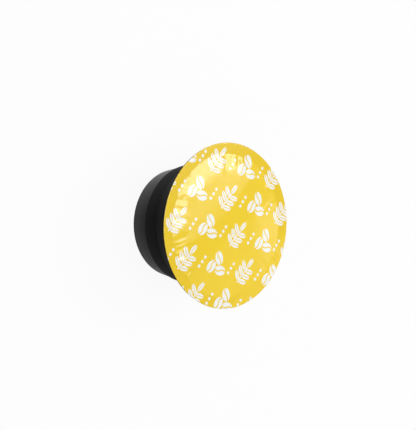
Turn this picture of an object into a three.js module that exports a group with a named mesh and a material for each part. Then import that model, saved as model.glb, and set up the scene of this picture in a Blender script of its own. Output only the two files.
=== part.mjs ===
// A squat coffee pod that stands on its closed end. It has two pieces: a moulded plastic cup with a wide
// flange, and a thin printed film that is heat-sealed to the flange and puffs up over the mouth.
// The ground coffee is sealed in and can't be seen, so the cup stays solid up to the coffee's level.
// Millimetres, +Z up, origin at the centre of the face that the pod stands on.

import * as THREE from 'three';
import { mergeVertices } from 'three/addons/utils/BufferGeometryUtils.js';

// Heights above the standing face
const flangeTopHeight = 21.6;
const flangeThickness = 1.1;
const neckLength = 1.3; // straight wall right under the flange
const bandTopHeight = 12.9; // where the shoulder meets the band
const ledgeHeight = 6.8; // where the band ends over the lower wall

// Radii of the outside
const flangeRadius = 21.85;
const bandTopRadius = 16.95;
const ledgeRadius = 15.95;
const ledgeWidth = 0.2; // how far the band stands out over the lower wall
const footRadius = 14.55;

// The flange's sealing land, and the cup's wall where it meets the flange
const landWidth = 2.85;
const wallThickness = 0.8;
const headspace = 1.6; // from the land down to the coffee
const mouthDraft = 0.1;

// The closed end: a foot ring around a sunk floor, with a thin disc that the machine pierces
const footWidth = 3.4;
const floorDepth = 1;
const floorDraft = 0.35;
const bossRadius = 5.6; // ring around the pierced disc
const bossWidth = 1.1;
const bossHeight = 0.45;
const bossDraft = 0.12;
const gateRadius = 0.7; // dimple that the moulding gate leaves
const gateDepth = 0.3;

// Fillets
const footFillet = 0.8;
const footInnerFillet = 0.35;
const ledgeFillet = 0.15;
const bandFillet = 3;
const shoulderFillet = 0.8;
const flangeRootFillet = 0.45;
const flangeRimFillet = 0.3;

// The film
const filmOverhang = 0.15; // past the flange's rim
const filmThickness = 0.12;
const puffHeight = 0.95; // of the film's middle over the land
const puffPower = 3.2; // higher is flatter in the middle, with a rounder shoulder
// A soft fold crosses the puffed film near its middle. Beyond it the film runs down to the seal as a slope.
const foldAngle = THREE.MathUtils.degToRad(124); // of the fold's line, from +X
const foldOffset = 0.9; // of the line from the film's centre
const foldWidth = 0.8;
const foldPower = 1.3; // higher is rounder towards the seal
// Puckers run in from the seal and fade towards the middle. Each row is one ripple around the film, and its
// depth is a share of the puff's height at that place, so that no pucker reaches below the land.
const puckers = [
  { waves: 5, depth: 0.14, turn: 0.7 },
  { waves: 9, depth: 0.12, turn: 2.1 },
  { waves: 14, depth: 0.1, turn: 4.4 },
];
const puckerPower = 4; // higher keeps the puckers closer to the seal

// Facets
const turnSegments = 72;
const filmSegments = 96;
const filmRings = 13;
const arcDivisions = 2; // three.js puts twice this many facets on each fillet

const darkPlastic = new THREE.MeshStandardMaterial({ color: 0x1b1a1c, roughness: 0.55, metalness: 0 });
const yellowFilm = new THREE.MeshStandardMaterial({ color: 0xf2cf35, roughness: 0.32, metalness: 0 });

// Turns a list of corners, as [radius, height, fillet], into points. A corner with a fillet becomes an arc
// that touches both of its sides, and the arc is never so large that it eats up half of a side.
function roundedSection(corners) {
  const path = new THREE.Path();
  const places = corners.map(([radius, height]) => new THREE.Vector2(radius, height));
  path.moveTo(places[0].x, places[0].y);
  for (let i = 1; i < corners.length; i += 1) {
    const fillet = corners[i][2] ?? 0;
    if (fillet === 0) {
      path.lineTo(places[i].x, places[i].y);
      continue;
    }
    addFillet(path, places[i - 1], places[i], places[i + 1], fillet);
  }
  return path.getPoints(arcDivisions);
}

function addFillet(path, before, corner, after, fillet) {
  const back = before.clone().sub(corner);
  const ahead = after.clone().sub(corner);
  const halfAngle = back.angleTo(ahead) / 2;
  const longestSetback = Math.min(back.length(), ahead.length()) / 2;
  const setback = Math.min(fillet / Math.tan(halfAngle), longestSetback);
  const radius = setback * Math.tan(halfAngle);
  back.normalize();
  ahead.normalize();
  const start = corner.clone().addScaledVector(back, setback);
  const end = corner.clone().addScaledVector(ahead, setback);
  const bisector = back.clone().add(ahead).normalize();
  const centre = corner.clone().addScaledVector(bisector, radius / Math.sin(halfAngle));
  const startAngle = start.clone().sub(centre).angle();
  const endAngle = end.clone().sub(centre).angle();
  const clockwise = back.cross(ahead) > 0;
  path.lineTo(start.x, start.y);
  path.absarc(centre.x, centre.y, radius, startAngle, endAngle, clockwise);
}

// Revolves a section, drawn as radius and height, about +Z.
function revolve(section) {
  const geometry = new THREE.LatheGeometry(section, turnSegments);
  geometry.rotateX(Math.PI / 2);
  geometry.deleteAttribute('normal');
  geometry.deleteAttribute('uv');
  const solid = mergeVertices(geometry);
  solid.computeVertexNormals();
  return solid;
}

// The cup's section, from the middle of the closed end, up the outside and back in over the mouth.
function cup() {
  const mouthRadius = flangeRadius - landWidth;
  const neckRadius = mouthRadius + wallThickness;
  const flangeUnderside = flangeTopHeight - flangeThickness;
  const neckFoot = flangeUnderside - neckLength;
  const floorRadius = footRadius - footWidth;
  const bossFace = floorDepth - bossHeight;
  const bossOuter = bossRadius + bossWidth;
  const coffeeLevel = flangeTopHeight - headspace;
  const section = roundedSection([
    [0, floorDepth + gateDepth],
    [gateRadius, floorDepth],
    [bossRadius - bossDraft, floorDepth],
    [bossRadius, bossFace],
    [bossOuter, bossFace],
    [bossOuter + bossDraft, floorDepth],
    [floorRadius - floorDraft, floorDepth],
    [floorRadius, 0, footInnerFillet],
    [footRadius, 0, footFillet],
    [ledgeRadius - ledgeWidth, ledgeHeight],
    [ledgeRadius, ledgeHeight, ledgeFillet],
    [bandTopRadius, bandTopHeight, bandFillet],
    [neckRadius, neckFoot, shoulderFillet],
    [neckRadius, flangeUnderside, flangeRootFillet],
    [flangeRadius, flangeUnderside, flangeRimFillet],
    [flangeRadius, flangeTopHeight, flangeRimFillet],
    [mouthRadius, flangeTopHeight],
    [mouthRadius - mouthDraft, coffeeLevel],
    [0, coffeeLevel],
  ]);
  const mesh = new THREE.Mesh(revolve(section), darkPlastic);
  mesh.name = 'cup';
  return mesh;
}

// The film's smooth form over the mouth: flat-topped on one side of the fold, a ruled slope on the other.
function foldedPuff(x, y, mouthRadius) {
  const along = x * Math.cos(foldAngle) + y * Math.sin(foldAngle);
  const across = y * Math.cos(foldAngle) - x * Math.sin(foldAngle) + foldOffset;
  const beyond = (across + Math.hypot(across, foldWidth)) / 2;
  const before = across - beyond - foldOffset;
  const share = Math.min(Math.hypot(along, before) / mouthRadius, 1);
  const reach = Math.sqrt(Math.max(mouthRadius ** 2 - along ** 2, foldWidth ** 2)) + foldOffset;
  const drop = Math.min(beyond / reach, 1) ** foldPower;
  return puffHeight * (1 - share ** puffPower) * (1 - drop);
}

// How far the film stands off the plane of the land, at a radius and an angle around the pod.
function filmLift(radius, angle, mouthRadius) {
  const fade = Math.min(radius / mouthRadius, 1) ** puckerPower;
  let ripple = 0;
  for (const { waves, depth, turn } of puckers) ripple += depth * Math.cos(waves * angle + turn);
  return foldedPuff(radius * Math.cos(angle), radius * Math.sin(angle), mouthRadius) * (1 + ripple * fade);
}

// Radii of the film's rings of vertices: closer together towards the seal, then across the land.
function filmRadii(mouthRadius, filmRadius) {
  const radii = [];
  for (let ring = 1; ring <= filmRings; ring += 1) {
    radii.push(mouthRadius * Math.sin((ring / filmRings) * Math.PI / 2));
  }
  radii.push(filmRadius);
  return radii;
}

// One sheet of even thickness: an upper and a lower skin on the same rings, joined around the cut edge.
function lidFilm() {
  const mouthRadius = flangeRadius - landWidth;
  const filmRadius = flangeRadius + filmOverhang;
  const radii = filmRadii(mouthRadius, filmRadius);
  const positions = [];
  const triangles = [];
  const skinSize = 1 + radii.length * filmSegments;
  for (const skinHeight of [flangeTopHeight + filmThickness, flangeTopHeight]) {
    positions.push(0, 0, skinHeight + filmLift(0, 0, mouthRadius));
    for (const radius of radii) {
      for (let step = 0; step < filmSegments; step += 1) {
        const angle = (step / filmSegments) * Math.PI * 2;
        const height = skinHeight + filmLift(radius, angle, mouthRadius);
        positions.push(radius * Math.cos(angle), radius * Math.sin(angle), height);
      }
    }
  }
  const at = (skin, ring, step) => skin * skinSize + 1 + ring * filmSegments + (step % filmSegments);
  const addQuad = (a, b, c, d) => triangles.push(a, b, c, a, c, d);
  for (let step = 0; step < filmSegments; step += 1) {
    const next = step + 1;
    triangles.push(0, at(0, 0, step), at(0, 0, next));
    triangles.push(skinSize, at(1, 0, next), at(1, 0, step));
    for (let ring = 1; ring < radii.length; ring += 1) {
      const inner = ring - 1;
      addQuad(at(0, inner, step), at(0, ring, step), at(0, ring, next), at(0, inner, next));
      addQuad(at(1, inner, next), at(1, ring, next), at(1, ring, step), at(1, inner, step));
    }
    const rim = radii.length - 1;
    addQuad(at(0, rim, step), at(1, rim, step), at(1, rim, next), at(0, rim, next));
  }
  const geometry = new THREE.BufferGeometry();
  geometry.setAttribute('position', new THREE.Float32BufferAttribute(positions, 3));
  geometry.setIndex(triangles);
  geometry.computeVertexNormals();
  const mesh = new THREE.Mesh(geometry, yellowFilm);
  mesh.name = 'lid_film';
  return mesh;
}

const pod = new THREE.Group();
pod.add(cup(), lidFilm());

export default pod;
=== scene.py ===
"""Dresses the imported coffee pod: a turned cup of satin black plastic under a puffed, printed yellow film."""
import math

import bpy
import numpy as np
from mathutils import Matrix, Vector


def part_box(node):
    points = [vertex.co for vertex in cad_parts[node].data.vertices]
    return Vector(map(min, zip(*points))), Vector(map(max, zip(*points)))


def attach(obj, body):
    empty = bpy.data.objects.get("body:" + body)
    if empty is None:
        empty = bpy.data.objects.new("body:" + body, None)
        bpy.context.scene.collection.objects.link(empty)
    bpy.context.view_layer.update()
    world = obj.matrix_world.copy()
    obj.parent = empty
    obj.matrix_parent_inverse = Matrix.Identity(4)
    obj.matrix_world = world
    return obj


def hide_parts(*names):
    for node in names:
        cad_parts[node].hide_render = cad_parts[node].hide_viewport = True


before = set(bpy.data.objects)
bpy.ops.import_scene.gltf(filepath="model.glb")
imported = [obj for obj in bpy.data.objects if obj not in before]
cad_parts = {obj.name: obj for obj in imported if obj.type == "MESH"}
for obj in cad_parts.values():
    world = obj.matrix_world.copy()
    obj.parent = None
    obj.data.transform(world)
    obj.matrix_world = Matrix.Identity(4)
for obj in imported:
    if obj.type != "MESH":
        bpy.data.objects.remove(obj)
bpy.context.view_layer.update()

MM = 0.001
cup_low, cup_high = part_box("cup")
film_low, film_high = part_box("lid_film")

# Heights above the standing face, in millimetres
FLANGE_TOP = cup_high[2] / MM
FLANGE_THICKNESS = 1.1
NECK_LENGTH = 1.3
BAND_TOP = 12.9
LEDGE = 6.8

# Radii of the outside, in millimetres
FLANGE_RADIUS = (cup_high[0] - cup_low[0]) / 2 / MM
FILM_RADIUS = (film_high[0] - film_low[0]) / 2 / MM
BAND_TOP_RADIUS = 16.95
LEDGE_RADIUS = 15.95
LEDGE_WIDTH = 0.2
FOOT_RADIUS = 14.55
LAND_WIDTH = 2.85
MOUTH_RADIUS = FLANGE_RADIUS - LAND_WIDTH

# The film's puff over the mouth: its height and how far it lies to the lid's left, in millimetres, and the
# direction in which the film rises a little over the land, in degrees from the lid's right
PUFF_HEIGHT = 1.05
PUFF_SHIFT = 0.3
SWELL_DIRECTION = -44

# The photograph's view of the lid: how far its normal turns and nods away from the line of sight, then the
# distance and how far the lid's centre lies to the right of that line and under it, in metres
LID_TURN = math.radians(41.9)
LID_NOD = math.radians(-2.0)
VIEW_DISTANCE = 0.4074
LID_RIGHT = 0.00505
LID_DOWN = 0.00285

# The camera's lens and sensor, in millimetres
LENS = 133.4
SENSOR_WIDTH = 36.0

# Colours, in linear light
BLACK_PLASTIC = (0.004, 0.0036, 0.0037)
RUBBED_BLACK_PLASTIC = (0.024, 0.023, 0.023)
# The lighter black below is painted light, laid on the cup's lower wall, near the ledge and on its -X side
PAINTED_LIGHT_BLACK_PLASTIC = (0.13, 0.127, 0.131)
FILM_YELLOW = (0.92, 0.654, 0.021)
MOTTLED_YELLOW = (0.88, 0.6, 0.018)
# The darker yellow is painted shade on the seal land
PAINTED_SHADE_YELLOW = (0.865, 0.603, 0.02)
PRINT_WHITE = (0.915, 0.92, 0.9)
FLOOR_WHITE = (0.86, 0.86, 0.86)
LAMP_WHITE = (1, 1, 1)

# Light from all around, and the level that the camera sees there instead
WORLD_LEVEL = 0.42
SEEN_LEVEL = 0.985


class Value:
    """A shader socket. Used in an expression, it adds the Math nodes that the expression needs."""

    def __init__(self, surface, socket):
        self.surface = surface
        self.socket = socket

    def __add__(self, other):
        return self.surface.maths("ADD", self, other)

    def __radd__(self, other):
        return self.surface.maths("ADD", other, self)

    def __sub__(self, other):
        return self.surface.maths("SUBTRACT", self, other)

    def __rsub__(self, other):
        return self.surface.maths("SUBTRACT", other, self)

    def __mul__(self, other):
        return self.surface.maths("MULTIPLY", self, other)

    def __rmul__(self, other):
        return self.surface.maths("MULTIPLY", other, self)

    def __truediv__(self, other):
        return self.surface.maths("DIVIDE", self, other)

    def __rtruediv__(self, other):
        return self.surface.maths("DIVIDE", other, self)

    def __abs__(self):
        return self.surface.maths("ABSOLUTE", self)


class Surface:
    """One material and the nodes that make it."""

    def __init__(self, name):
        self.material = bpy.data.materials.new(name)
        self.material.use_nodes = True
        self.tree = self.material.node_tree
        self.tree.nodes.clear()

    def node(self, kind, settings, sockets, output=0):
        """Adds a node, sets it up, then fills its sockets with numbers, colours or other nodes' values."""
        made = self.tree.nodes.new(kind)
        for setting, choice in settings.items():
            setattr(made, setting, choice)
        for key, value in sockets.items():
            if isinstance(value, Value):
                self.tree.links.new(value.socket, made.inputs[key])
            else:
                made.inputs[key].default_value = value
        return Value(self, made.outputs[output])

    def maths(self, operation, *terms):
        return self.node("ShaderNodeMath", {"operation": operation}, dict(enumerate(terms)))

    def place(self):
        """The point on the object, in millimetres, as three values."""
        here = self.node("ShaderNodeTexCoord", {}, {}, "Object")
        scaled = self.node("ShaderNodeVectorMath", {"operation": "SCALE"}, {0: here, "Scale": 1 / MM})
        return [self.node("ShaderNodeSeparateXYZ", {}, {0: scaled}, axis) for axis in range(3)]

    def ramp(self, value, start, end):
        """Goes smoothly from 0 at start to 1 at end, and start may be the larger."""
        settings = {"interpolation_type": "SMOOTHSTEP", "clamp": True}
        sockets = {"Value": value, "From Min": start, "From Max": end}
        return self.node("ShaderNodeMapRange", settings, sockets)

    def mix(self, factor, first, second):
        """Mixes two colours. The Mix node has them on sockets 6 and 7, and the result on output 2."""
        return self.node("ShaderNodeMix", {"data_type": "RGBA"}, {0: factor, 6: first, 7: second}, 2)

    def noise(self, grain, detail=2.0, rough=0.5):
        """Noise around 0.5 whose lumps are about grain millimetres wide."""
        here = self.node("ShaderNodeTexCoord", {}, {}, "Object")
        sockets = {"Vector": here, "Scale": 1 / (grain * MM), "Detail": detail, "Roughness": rough}
        return self.node("ShaderNodeTexNoise", {}, sockets, "Fac")

    def bump(self, height, depth, normal=None):
        """Turns a height from 0 to 1 into a normal, for a relief that is depth millimetres deep."""
        sockets = {"Height": height, "Distance": depth * MM, "Strength": 1.0}
        if normal is not None:
            sockets["Normal"] = normal
        return self.node("ShaderNodeBump", {}, sockets)

    def finish(self, shader):
        output = self.tree.nodes.new("ShaderNodeOutputMaterial")
        self.tree.links.new(shader.socket, output.inputs["Surface"])
        return self.material


def colour(triple):
    """A colour with the alpha that a colour socket takes."""
    return (*triple, 1.0)


def wrap(surface, value, half):
    """Folds a value into the range from -half to half, as a pattern that repeats."""
    return surface.maths("WRAP", value, half, -half)


def oval(surface, along, across, half_length, half_width):
    """1 inside an ellipse and 0 outside it."""
    softness = 0.06
    far = surface.maths("POWER", along / half_length, 2) + surface.maths("POWER", across / half_width, 2)
    reach = surface.maths("SQRT", far)
    edge = softness / half_width
    return surface.ramp(reach, 1 + edge, 1 - edge)


def turned(along, across, angle):
    """The same place in axes that are turned by an angle."""
    cosine = math.cos(angle)
    sine = math.sin(angle)
    return along * cosine + across * sine, across * cosine - along * sine


def within(surface, value, start, end, softness=0.05):
    """1 between start and end, 0 outside."""
    rise = surface.ramp(value, start - softness, start + softness)
    return rise * surface.ramp(value, end + softness, end - softness)


def bean(surface, along, across, angle):
    """A roasted bean seen from its flat side: an oval with a curved slit."""
    half_length = 1.85
    half_width = 1.3
    slit = 0.19
    slit_softness = 0.06
    sway = 0.28
    length_wise, width_wise = turned(along, across, angle)
    body = oval(surface, length_wise, width_wise, half_length, half_width)
    bend = surface.maths("SINE", length_wise * (math.pi / half_length)) * sway
    return body * surface.ramp(abs(width_wise - bend), slit - slit_softness, slit + slit_softness)


def leaf(surface, along, across, angle):
    """An oval leaf with a bare midrib."""
    half_length = 1.45
    half_width = 0.66
    rib = 0.09
    rib_softness = 0.05
    length_wise, width_wise = turned(along, across, angle)
    body = oval(surface, length_wise, width_wise, half_length, half_width)
    return body * surface.ramp(abs(width_wise), rib - rib_softness, rib + rib_softness)


def union(surface, masks):
    """1 where any of the masks is 1."""
    whole = masks[0]
    for mask in masks[1:]:
        whole = surface.maths("MAXIMUM", whole, mask)
    return whole


def bean_trio(surface, along, across):
    """Three beans around a point, each turned a little off the line to it."""
    distance = 1.95
    lean = math.radians(38)
    beans = []
    for degrees in (80, 200, 320):
        direction = math.radians(degrees)
        from_bean = along - distance * math.cos(direction)
        beside_bean = across - distance * math.sin(direction)
        beans.append(bean(surface, from_bean, beside_bean, direction + lean))
    return union(surface, beans)


def sprig(surface, along, across):
    """A straight stem with three pairs of leaves and one at its tip."""
    stem_foot = -3.9
    stem_top = 1.6
    stem_edges = (0.22, 0.12)
    pair_count = 3
    lowest_pair = -2.45
    leaf_step = 1.75
    leaf_reach = 1.35
    leaf_lean = math.radians(62)
    tip_place = 3.0
    crisp = 0.01
    stem = surface.ramp(abs(across), *stem_edges) * within(surface, along, stem_foot, stem_top)
    level = wrap(surface, along - lowest_pair, leaf_step / 2)
    pairs = leaf(surface, level, abs(across) - leaf_reach, leaf_lean)
    pairs_start = lowest_pair - leaf_step / 2
    pairs_end = pairs_start + leaf_step * pair_count
    pairs = pairs * within(surface, along, pairs_start, pairs_end, crisp)
    tip = leaf(surface, along - tip_place, across, 0)
    return union(surface, [stem, pairs, tip])


def print_mask(surface, x, y):
    """White print: bean trios and leafy sprigs in turn on a lattice, with short rows of dots between."""
    slant = math.radians(-11)
    pitch = 9.0
    cell = 21.0
    stagger = cell / 4
    shift_left = 2.4
    shift_down = 1.4
    along, across = turned(y + shift_left, shift_down - x, slant)
    in_row = wrap(surface, across, pitch / 2)
    row = (across - in_row) / pitch
    in_cell = wrap(surface, along + row * stagger, cell / 2)

    trio = bean_trio(surface, in_cell + cell / 4, in_row)
    sprig_lean = math.radians(58)
    sprig_along, sprig_across = turned(in_cell - cell / 4, in_row, sprig_lean)
    leaves = sprig(surface, sprig_along, sprig_across)

    dot_radius = 0.42
    dot_step = 1.5
    dot_count = 3
    dots_lean = math.radians(62)
    dot_line, dot_side = turned(wrap(surface, in_cell, cell / 4), in_row, dots_lean)
    dots = oval(surface, wrap(surface, dot_line, dot_step / 2), dot_side, dot_radius, dot_radius)
    line_end = dot_step * dot_count / 2
    dots = dots * within(surface, dot_line, -line_end, line_end)
    return union(surface, [trio, leaves, dots])


def film_material():
    """Glossy laminate: yellow ink and white print under a clear layer, with painted shade on the seal land
    that painted light lifts towards the lower right.
    """
    seal_edge = (MOUTH_RADIUS - 0.2, MOUTH_RADIUS + 0.25)
    painted_light_edge = (14.5, 18.0)
    painted_light_share = 0.75
    mottle_grain = 5.0
    mottle_edge = (0.35, 0.75)
    mottle_share = 0.25
    plain_rough = 0.14
    print_rougher = 0.05
    seal_smoother = 0.02
    mottle_rougher = 0.05
    skin_grain = 0.9
    skin_depth = 0.0035
    ink_depth = 0.004
    surface = Surface("printed_film")
    x, y, _ = surface.place()
    ink = print_mask(surface, x, y)

    # Painted shade: the seal land is given a darker yellow, and a little less roughness
    land_and_painted_shade = surface.ramp(surface.maths("SQRT", x * x + y * y), *seal_edge)
    # Painted light: towards the lower right, where the film rises over the land, most of the seal's painted
    # shade is taken away
    turn = math.radians(SWELL_DIRECTION)
    painted_light_window = surface.ramp(y * math.cos(turn) - x * math.sin(turn), *painted_light_edge)
    land_and_painted_shade = land_and_painted_shade * (1 - painted_light_window * painted_light_share)

    mottle = surface.noise(mottle_grain, detail=3.0)
    tone = surface.mix(land_and_painted_shade, colour(FILM_YELLOW), colour(PAINTED_SHADE_YELLOW))
    tone = surface.mix(surface.ramp(mottle, *mottle_edge) * mottle_share, tone, colour(MOTTLED_YELLOW))
    tone = surface.mix(ink, tone, colour(PRINT_WHITE))
    rough = plain_rough + ink * print_rougher - land_and_painted_shade * seal_smoother + (mottle - 0.5) * mottle_rougher
    skin = surface.bump(surface.noise(skin_grain, detail=1.0), skin_depth)
    normal = surface.bump(ink, ink_depth, skin)
    sockets = {"Base Color": tone, "Roughness": rough, "Normal": normal, "IOR": 1.5}
    return surface.finish(surface.node("ShaderNodeBsdfPrincipled", {}, sockets))


def cup_material():
    """Moulded polypropylene, near black, with a fine satin grain and the odd rubbed patch.

    The wall under the ledge has painted light in its colour, most towards the foot, and catches light at
    grazing angles. The band gets a little painted light near the ledge. Painted light lightens the side
    towards -X, and painted shade darkens the opposite side.
    """
    grain_size = 0.16
    grain_depth = 0.006
    patch_size = 6.0
    patch_edge = (0.55, 0.8)
    rubbed_share = 0.3
    ledge_blur = 0.04
    full_painted_light_height = 0.5
    ledge_painted_light = 0.03
    foot_painted_light = 0.4
    band_painted_light = 0.045
    painted_light_side_edge = (-1.0, -14.0)
    band_painted_side_light = 0.14
    wall_painted_side_light = 0.4
    painted_shade_side_edge = (3.0, 14.0)
    side_shade_share = 0.6
    satin_rough = 0.62
    wall_smoother = 0.2
    patch_rougher = 0.12
    grain_rougher = 0.06
    gleam_power = 3
    wall_coat = 0.95
    shaded_side_coat_loss = 0.5
    surface = Surface("satin_black_plastic")
    x, _, height = surface.place()
    lower_wall = surface.ramp(height, LEDGE + ledge_blur, LEDGE - ledge_blur)
    # Painted light on the side towards -X and painted shade on the side towards +X, where the coat also gleams
    # less
    painted_light_side = surface.ramp(x, *painted_light_side_edge)
    painted_shade_side = surface.ramp(x, *painted_shade_side_edge)

    # Painted light: lighter under the ledge, most towards the foot, and a little on the band near the ledge
    painted_light = lower_wall * (ledge_painted_light + surface.ramp(height, LEDGE, full_painted_light_height) * foot_painted_light)
    painted_light = painted_light + (1 - lower_wall) * surface.ramp(height, BAND_TOP, LEDGE) * band_painted_light
    painted_light = painted_light * (1 - painted_shade_side * side_shade_share) + painted_light_side * (band_painted_side_light + lower_wall * wall_painted_side_light)
    patches = surface.noise(patch_size, detail=4.0, rough=0.6)
    rubbed = surface.ramp(patches, *patch_edge) * rubbed_share
    tone = surface.mix(painted_light, colour(BLACK_PLASTIC), colour(PAINTED_LIGHT_BLACK_PLASTIC))
    tone = surface.mix(rubbed, tone, colour(RUBBED_BLACK_PLASTIC))

    grain = surface.noise(grain_size, detail=2.0)
    rough = satin_rough - lower_wall * wall_smoother
    rough = rough + (patches - 0.5) * patch_rougher + (grain - 0.5) * grain_rougher
    normal = surface.bump(grain, grain_depth)
    facing = surface.node("ShaderNodeLayerWeight", {}, {"Blend": 0.5}, "Facing")
    gleam = surface.maths("POWER", facing, gleam_power)
    sockets = {
        "Base Color": tone,
        "Roughness": rough,
        "Normal": normal,
        "IOR": 1.48,
        "Specular IOR Level": 0.05,
        "Coat Weight": gleam * lower_wall * (wall_coat - painted_shade_side * shaded_side_coat_loss),
        "Coat Roughness": 0.33,
        "Coat IOR": 1.4,
    }
    return surface.finish(surface.node("ShaderNodeBsdfPrincipled", {}, sockets))


def rounded_section(corners, steps):
    """Points along corners, given as (radius, height, fillet), with an arc for each fillet."""
    points = []
    last = len(corners) - 1
    for index, (radius, height, fillet) in enumerate(corners):
        corner = Vector((radius, height))
        if fillet == 0 or index in (0, last):
            points.append(corner)
            continue
        back = Vector(corners[index - 1][:2]) - corner
        ahead = Vector(corners[index + 1][:2]) - corner
        half = back.angle(ahead) / 2
        setback = min(fillet / math.tan(half), back.length / 2, ahead.length / 2)
        bend = setback * math.tan(half)
        middle = corner + (back.normalized() + ahead.normalized()).normalized() * (bend / math.sin(half))
        start = corner + back.normalized() * setback - middle
        sweep = start.angle_signed(corner + ahead.normalized() * setback - middle)
        for step in range(steps + 1):
            points.append(middle + Matrix.Rotation(-sweep * step / steps, 2) @ start)
    return points


def cup_section():
    """The cup's outline from the middle of the closed end, up the outside and back over the mouth."""
    wall = 0.8
    headspace = 1.6
    mouth_draft = 0.1
    rim_height = 0.45
    rim_chamfer = 0.9
    floor = 1.0
    foot_width = 3.4
    foot_draft = 0.35
    gate_radius = 0.7
    gate_depth = 0.3
    boss_inner = 5.6
    boss_outer = 6.7
    boss_height = 0.45
    boss_draft = 0.12
    crease = 0.1
    gate_fillet = 0.15
    floor_fillet = 0.2
    foot_inner_fillet = 0.35
    foot_fillet = 0.8
    ledge_root_fillet = 0.08
    ledge_fillet = 0.15
    band_fillet = 3.0
    shoulder_fillet = 0.8
    flange_root_fillet = 0.45
    chamfer_fillet = 0.3
    rim_fillet = 0.2
    land_edge_fillet = 0.12
    fillet_steps = 6
    neck_radius = MOUTH_RADIUS + wall
    underside = FLANGE_TOP - FLANGE_THICKNESS
    boss_face = floor - boss_height
    floor_radius = FOOT_RADIUS - foot_width
    coffee_level = FLANGE_TOP - headspace
    corners = [
        (0, floor + gate_depth, 0),
        (gate_radius, floor, gate_fillet),
        (boss_inner - boss_draft, floor, crease),
        (boss_inner, boss_face, crease),
        (boss_outer, boss_face, crease),
        (boss_outer + boss_draft, floor, crease),
        (floor_radius - foot_draft, floor, floor_fillet),
        (floor_radius, 0, foot_inner_fillet),
        (FOOT_RADIUS, 0, foot_fillet),
        (LEDGE_RADIUS - LEDGE_WIDTH, LEDGE, ledge_root_fillet),
        (LEDGE_RADIUS, LEDGE, ledge_fillet),
        (BAND_TOP_RADIUS, BAND_TOP, band_fillet),
        (neck_radius, underside - NECK_LENGTH, shoulder_fillet),
        (neck_radius, underside, flange_root_fillet),
        (FLANGE_RADIUS - rim_chamfer, underside, chamfer_fillet),
        (FLANGE_RADIUS, FLANGE_TOP - rim_height, rim_fillet),
        (FLANGE_RADIUS, FLANGE_TOP, land_edge_fillet),
        (MOUTH_RADIUS, FLANGE_TOP, crease),
        (MOUTH_RADIUS - mouth_draft, coffee_level, crease),
        (0, coffee_level, 0),
    ]
    return rounded_section(corners, fillet_steps)


def ring_mesh(name, rows, first_middle, last_middle):
    """A smooth piece from closed rings of points, one ring per row, and a point that closes each end."""
    turns = len(rows[0])
    points = [point for row in rows for point in row]
    faces = []
    for row in range(len(rows) - 1):
        for turn in range(turns):
            near = row * turns + turn
            beside = row * turns + (turn + 1) % turns
            faces.append((near, beside, beside + turns, near + turns))
    first_hub = len(points)
    last_hub = first_hub + 1
    points.extend([first_middle, last_middle])
    last_row = (len(rows) - 1) * turns
    faces.extend((first_hub, (turn + 1) % turns, turn) for turn in range(turns))
    faces.extend((last_hub, last_row + turn, last_row + (turn + 1) % turns) for turn in range(turns))
    mesh = bpy.data.meshes.new(name)
    mesh.from_pydata([[value * MM for value in point] for point in points], [], faces)
    mesh.validate()
    mesh.polygons.foreach_set("use_smooth", [True] * len(mesh.polygons))
    piece = bpy.data.objects.new(name, mesh)
    bpy.context.collection.objects.link(piece)
    return piece


def make_cup():
    """The cup is turned from its section, and keeps its sharper edges."""
    section = cup_section()
    turns = 240
    sharp_angle = math.radians(50)
    angles = [math.tau * turn / turns for turn in range(turns)]
    rows = []
    for radius, height in section[1:-1]:
        rows.append([(radius * math.cos(angle), radius * math.sin(angle), height) for angle in angles])
    cup = ring_mesh("pod_cup", rows, (0, 0, section[0][1]), (0, 0, section[-1][1]))
    cup.data.set_sharp_from_angle(angle=sharp_angle)
    cup.data.materials.append(cup_material())
    return cup


def soft_positive(distance, softness):
    """The distance where it is positive, else 0, and rounded where the one becomes the other."""
    return (distance + np.sqrt(distance ** 2 + softness ** 2)) / 2


def shouldered(share, shoulder, slope_power, shoulder_power):
    """A fall from 0 to 1 as a slope that ends in a steeper shoulder."""
    return (1 - shoulder) * share ** slope_power + shoulder * share ** shoulder_power


def puff(right, up):
    """The film's smooth form over the mouth.

    A bent ridge crosses it. To the upper left it slopes down to the seal, with a steeper shoulder there. To
    the lower right a strip stays flat as far as a second fold, and then the film slopes down as well.
    """
    slope = math.radians(34)
    ridge_level = 2.9
    ridge_bend = 0.0108
    ridge_middle = -5.0
    ridge_softness = 0.3
    second_fold = 1.6
    fold_softness = 0.35
    shortest_reach = 1.5
    upper_shoulder = 0.24
    upper_powers = (1.1, 6)
    lower_shoulder = 0.15
    lower_powers = (1.15, 5)
    end_power = 3.2
    steepest_at_seal = 0.2
    along = right * math.cos(slope) + up * math.sin(slope)
    across = up * math.cos(slope) - right * math.sin(slope)
    half_chord = np.sqrt(np.maximum(MOUTH_RADIUS ** 2 - along ** 2, 0))
    ridge = ridge_level + ridge_bend * (along - ridge_middle) ** 2
    beyond_ridge = soft_positive(across - ridge, ridge_softness)
    beyond_fold = soft_positive(-across - second_fold, fold_softness)
    upper = np.minimum(beyond_ridge / np.maximum(half_chord - ridge, shortest_reach), 1)
    lower = np.minimum(beyond_fold / np.maximum(half_chord - second_fold, shortest_reach), 1)
    upper_fall = shouldered(upper, upper_shoulder, *upper_powers)
    lower_fall = shouldered(lower, lower_shoulder, *lower_powers)
    end_share = np.minimum(np.abs(along) / MOUTH_RADIUS, 1)
    form = PUFF_HEIGHT * (1 - end_share ** end_power) * (1 - upper_fall) * (1 - lower_fall)
    return np.minimum(form, steepest_at_seal * np.maximum(MOUTH_RADIUS - np.hypot(right, up), 0))


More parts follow.
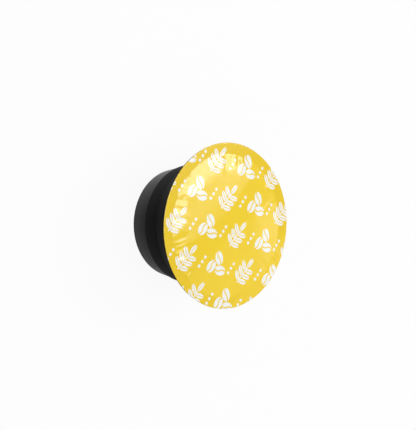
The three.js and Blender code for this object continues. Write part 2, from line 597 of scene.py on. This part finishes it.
def pucker_list():
    """Puckers that run in from the seal: angle, length, half width and depth, negative for a ridge."""
    seed = 7
    dent_share = 0.65
    length_range = (0.6, 1.15)
    width_range = (0.09, 0.13)
    depth_range = (0.6, 1.1)
    step_range = (0.75, 1.3)
    draw = np.random.default_rng(seed)
    puckers = []
    # Stretches of the seal, counted from the lid's right: from, to, spacing in degrees, depth, length
    stretches = [
        (-140, 200, 6.5, 0.03, 3.4),
        (196, 224, 5.0, 0.1, 5.0),
        (66, 104, 6.0, 0.1, 5.4),
        (108, 176, 8.5, 0.1, 5.5),
        (28, 60, 7.0, 0.06, 4.2),
    ]
    for start, end, spacing, depth, length in stretches:
        angle = start
        while angle < end:
            sign = 1 if draw.random() < dent_share else -1
            puckers.append((
                math.radians(angle),
                length * draw.uniform(*length_range),
                spacing * draw.uniform(*width_range),
                sign * depth * draw.uniform(*depth_range),
            ))
            angle += spacing * draw.uniform(*step_range)
    return puckers


def puckered(right, up):
    """How far the puckers, dents and creases move the film's surface."""
    lean_to_seal = 0.7
    swell_power = 1.2
    radius = np.hypot(right, up)
    angle = np.arctan2(up, right)
    relief = np.zeros_like(radius)
    for where, length, half_width, depth in pucker_list():
        inward = (MOUTH_RADIUS - radius) / length
        along = np.clip(inward, 0, 1)
        swell = np.sin(math.pi * along ** lean_to_seal) ** swell_power
        swell = np.where((inward > 0) & (inward < 1), swell, 0)
        off = np.angle(np.exp(1j * (angle - where))) * radius
        relief -= depth * swell * np.exp(-(off / half_width) ** 2)
    # Dents and creases: right, up, half length, half width, slope in degrees, depth
    marks = [
        (-16.0, -3.1, 1.8, 0.9, 20, 0.11),
        (-15.4, 7.5, 0.5, 0.35, 0, 0.03),
        (18.4, -8.5, 1.6, 0.28, -34, 0.08),
        (18.6, -9.2, 1.5, 0.32, -34, -0.09),
        (12.2, -13.8, 1.6, 0.4, -55, 0.04),
        (14.5, 5.2, 2.6, 0.7, 40, 0.06),
    ]
    for mark_right, mark_up, half_length, half_width, slope, depth in marks:
        turn = math.radians(slope)
        along = (right - mark_right) * math.cos(turn) + (up - mark_up) * math.sin(turn)
        across = (up - mark_up) * math.cos(turn) - (right - mark_right) * math.sin(turn)
        relief -= depth * np.exp(-(along / half_length) ** 2 - (across / half_width) ** 2)
    return relief


def land_swell(right, up):
    """At the lower right the film rises a little over the land's inner edge, which hardly shows there."""
    rise = 0.14
    half_window = 34
    window_power = 4
    flat_rim = 0.3
    inward_reach = 6
    outer = FILM_RADIUS - flat_rim
    radius = np.hypot(right, up)
    off = np.degrees(np.arctan2(up, right)) - SWELL_DIRECTION
    window = np.exp(-(off / half_window) ** window_power)
    on_land = np.clip((outer - radius) / (outer - MOUTH_RADIUS), 0, 1)
    over_mouth = np.clip(1 - (MOUTH_RADIUS - radius) / inward_reach, 0, 1) ** 2
    return rise * window * np.where(radius > MOUTH_RADIUS, on_land, over_mouth)


def mottled(right, up):
    """Slow ripples of a film that isn't drawn quite flat."""
    slow_depth = 0.018
    fine_depth = 0.006
    fade_power = 6
    share = np.minimum(np.hypot(right, up) / MOUTH_RADIUS, 1)
    # Two products of waves, in radians per millimetre with a phase, that don't line up with each other
    slow = np.sin(right * 0.62 + 1.1 * np.sin(up * 0.4)) * np.sin(up * 0.55 + 0.7)
    fine = np.sin(right * 1.35 + up * 0.8 + 2.0) * np.sin(up * 1.1 - right * 0.5)
    return (slow_depth * slow + fine_depth * fine) * (1 - share ** fade_power)


def film_rows(radii, turns, height, upper_skin):
    """Rings of the film at given radii. The lid's right is world +Y and its up is world -X.

    The lower skin follows the upper one's folds and puckers, but it never reaches below the land.
    """
    rows = []
    angles = np.arange(turns) * math.tau / turns
    for radius in radii:
        x = radius * np.cos(angles)
        y = radius * np.sin(angles)
        right = y + PUFF_SHIFT
        relief = puff(right, -x) + puckered(right, -x) + mottled(right, -x)
        relief = relief + land_swell(y, -x) if upper_skin else np.maximum(relief, 0)
        z = height + relief
        rows.append(list(zip(x.tolist(), y.tolist(), z.tolist())))
    return rows


def make_film():
    """The film is one thin sheet: an upper skin, a rounded cut edge and a coarser lower skin."""
    thickness = 0.12
    rounding = 0.03
    turns = 480
    mouth_rings = 70
    land_rings = 12
    coarseness = 3
    middle_radius = 1e-6
    ring_angle = math.pi / 2 / mouth_rings
    land_step = (FILM_RADIUS - rounding - MOUTH_RADIUS) / land_rings
    upper_radii = [MOUTH_RADIUS * math.sin(ring_angle * ring) for ring in range(1, mouth_rings + 1)]
    upper_radii += [MOUTH_RADIUS + land_step * ring for ring in range(1, land_rings + 1)]
    lower_radii = upper_radii[::coarseness] + upper_radii[-1:]
    upper = film_rows(upper_radii, turns, FLANGE_TOP + thickness, True)
    edge = film_rows([FILM_RADIUS], turns, FLANGE_TOP + thickness / 2, False)
    lower = film_rows(lower_radii[::-1], turns, FLANGE_TOP, False)
    top_middle = film_rows([middle_radius], 1, FLANGE_TOP + thickness, True)[0][0]
    low_middle = film_rows([middle_radius], 1, FLANGE_TOP, False)[0][0]
    rows = upper + edge + lower
    film = ring_mesh("pod_film", rows[::-1], low_middle, top_middle)
    film.data.materials.append(film_material())
    return film


def floor_material():
    """A white floor, clear from below. Rays that show the background see it lifted towards white."""
    surface = Surface("white_floor")
    matt = surface.node("ShaderNodeBsdfDiffuse", {}, {"Color": colour(FLOOR_WHITE)})
    glow = surface.node("ShaderNodeEmission", {}, {"Color": colour(LAMP_WHITE), "Strength": 1.0})
    lifts = [("Is Camera Ray", 0.93), ("Is Glossy Ray", 0.35), ("Is Transmission Ray", 0.35)]
    seen = 0
    for ray, lift in lifts:
        seen = seen + surface.node("ShaderNodeLightPath", {}, {}, ray) * lift
    top = surface.node("ShaderNodeMixShader", {}, {0: seen, 1: matt, 2: glow})
    from_below = surface.node("ShaderNodeNewGeometry", {}, {}, "Backfacing")
    clear = surface.node("ShaderNodeBsdfTransparent", {}, {})
    return surface.finish(surface.node("ShaderNodeMixShader", {}, {0: from_below, 1: top, 2: clear}))


def make_floor():
    """A floor 3 m across, a hair under the pod's foot ring."""
    half = 1.5
    level = -0.05 * MM
    mesh = bpy.data.meshes.new("floor")
    corners = [(-half, -half, level), (half, -half, level), (half, half, level), (-half, half, level)]
    mesh.from_pydata(corners, [], [(0, 1, 2, 3)])
    floor = bpy.data.objects.new("floor", mesh)
    bpy.context.collection.objects.link(floor)
    mesh.materials.append(floor_material())


def make_world():
    """Even light from all around. The camera sees it as the same white as the floor."""
    world = bpy.data.worlds.new("studio")
    world.use_nodes = True
    bpy.context.scene.world = world
    tree = world.node_tree
    background = tree.nodes["Background"]
    background.inputs["Color"].default_value = colour(LAMP_WHITE)
    seen = tree.nodes.new("ShaderNodeMapRange")
    tree.links.new(tree.nodes.new("ShaderNodeLightPath").outputs["Is Camera Ray"], seen.inputs["Value"])
    seen.inputs["To Min"].default_value = WORLD_LEVEL
    seen.inputs["To Max"].default_value = SEEN_LEVEL
    tree.links.new(seen.outputs["Result"], background.inputs["Strength"])


def softbox(name, outward, along, distance, width, height, radiance, target):
    """A rectangular lamp that faces the target from outward. Its width runs along the second direction."""
    lamp = bpy.data.lights.new(name, "AREA")
    lamp.shape = "RECTANGLE"
    lamp.size = width
    lamp.size_y = height
    lamp.energy = radiance * math.pi * width * height
    holder = bpy.data.objects.new(name, lamp)
    outward = outward.normalized()
    along = (along - along.dot(outward) * outward).normalized()
    turn = Matrix((along, outward.cross(along), outward)).transposed()
    holder.matrix_world = Matrix.Translation(target + outward * distance) @ turn.to_4x4()
    bpy.context.collection.objects.link(holder)


def mirrored_softbox(name, camera, target, near, far, first_side, last_side, radiance):
    """A softbox where the lid mirrors the camera, in degrees off the mirror line of a flat lid.

    Near and far count towards the side that the lid's upper left tilts to, and the sides across that.
    """
    distance = 0.6
    view = (camera - target).normalized()
    mirror = Vector((-view.x, -view.y, view.z))
    # The lid's upper left as the camera sees it, in world axes
    up_left = Vector((-0.83, -0.56, 0))
    along = (up_left - up_left.dot(mirror) * mirror).normalized()
    across = mirror.cross(along)
    edges = [math.tan(math.radians(angle)) for angle in (near, far, first_side, last_side)]
    middle = mirror + along * (edges[0] + edges[1]) / 2 + across * (edges[2] + edges[3]) / 2
    width = abs(edges[1] - edges[0]) * distance
    height = abs(edges[3] - edges[2]) * distance
    softbox(name, middle, along, distance, width, height, radiance, target)


def lid_view():
    """The lid's own axes as the camera sees them: columns are world X, Y and Z in camera axes."""
    normal = Vector((
        math.sin(LID_TURN) * math.cos(LID_NOD),
        math.sin(LID_NOD),
        math.cos(LID_TURN) * math.cos(LID_NOD),
    ))
    up = Vector((0, 1, 0))
    world_x = -(up - up.dot(normal) * normal).normalized()
    world_y = normal.cross(world_x)
    return Matrix((world_x, world_y, normal)).transposed()


def make_camera(target):
    """Puts the camera where it sees the lid as the photograph does, and gives back its place."""
    lens = bpy.data.cameras.new("camera")
    lens.sensor_fit = "HORIZONTAL"
    lens.sensor_width = SENSOR_WIDTH
    lens.lens = LENS
    camera = bpy.data.objects.new("camera", lens)
    to_world = lid_view().transposed()
    lid_seen = Vector((LID_RIGHT, -LID_DOWN, -VIEW_DISTANCE))
    place = Matrix.Translation(target - to_world @ lid_seen)
    camera.matrix_world = place @ to_world.to_4x4()
    bpy.context.collection.objects.link(camera)
    bpy.context.scene.camera = camera
    return camera.matrix_world.translation


cup = make_cup()
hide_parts("cup")
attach(cup, "root")

film = make_film()
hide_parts("lid_film")
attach(film, "root")

lid_centre = Vector((0, 0, FLANGE_TOP * MM))
make_floor()
make_world()
eye = make_camera(lid_centre)

# Lamps that the lid mirrors: near and far edge, first and last side, all in degrees, and radiance
mirrored_lamps = {
    "main_softbox": (10.5, 23, -14, 24, 6.5),
    "sheen_softbox": (4.8, 10.5, -16, 26, 1.4),
    "side_softbox": (-4, -14, -23, -6, 1.4),
    "low_softbox": (-5, -18, -5, 26, 0.4),
}
for lamp_name, place_and_radiance in mirrored_lamps.items():
    mirrored_softbox(lamp_name, eye, lid_centre, *place_and_radiance)

# A square lamp nearly straight over the lid, for the film's own colour
overhead = Vector((0, -0.15, 1))
lamp_height = 0.8
lamp_side = 0.4
lamp_radiance = 3.3
world_x = Vector((1, 0, 0))
softbox("top_softbox", overhead, world_x, lamp_height, lamp_side, lamp_side, lamp_radiance, lid_centre)
bpy.context.scene.view_settings.view_transform = "Standard"
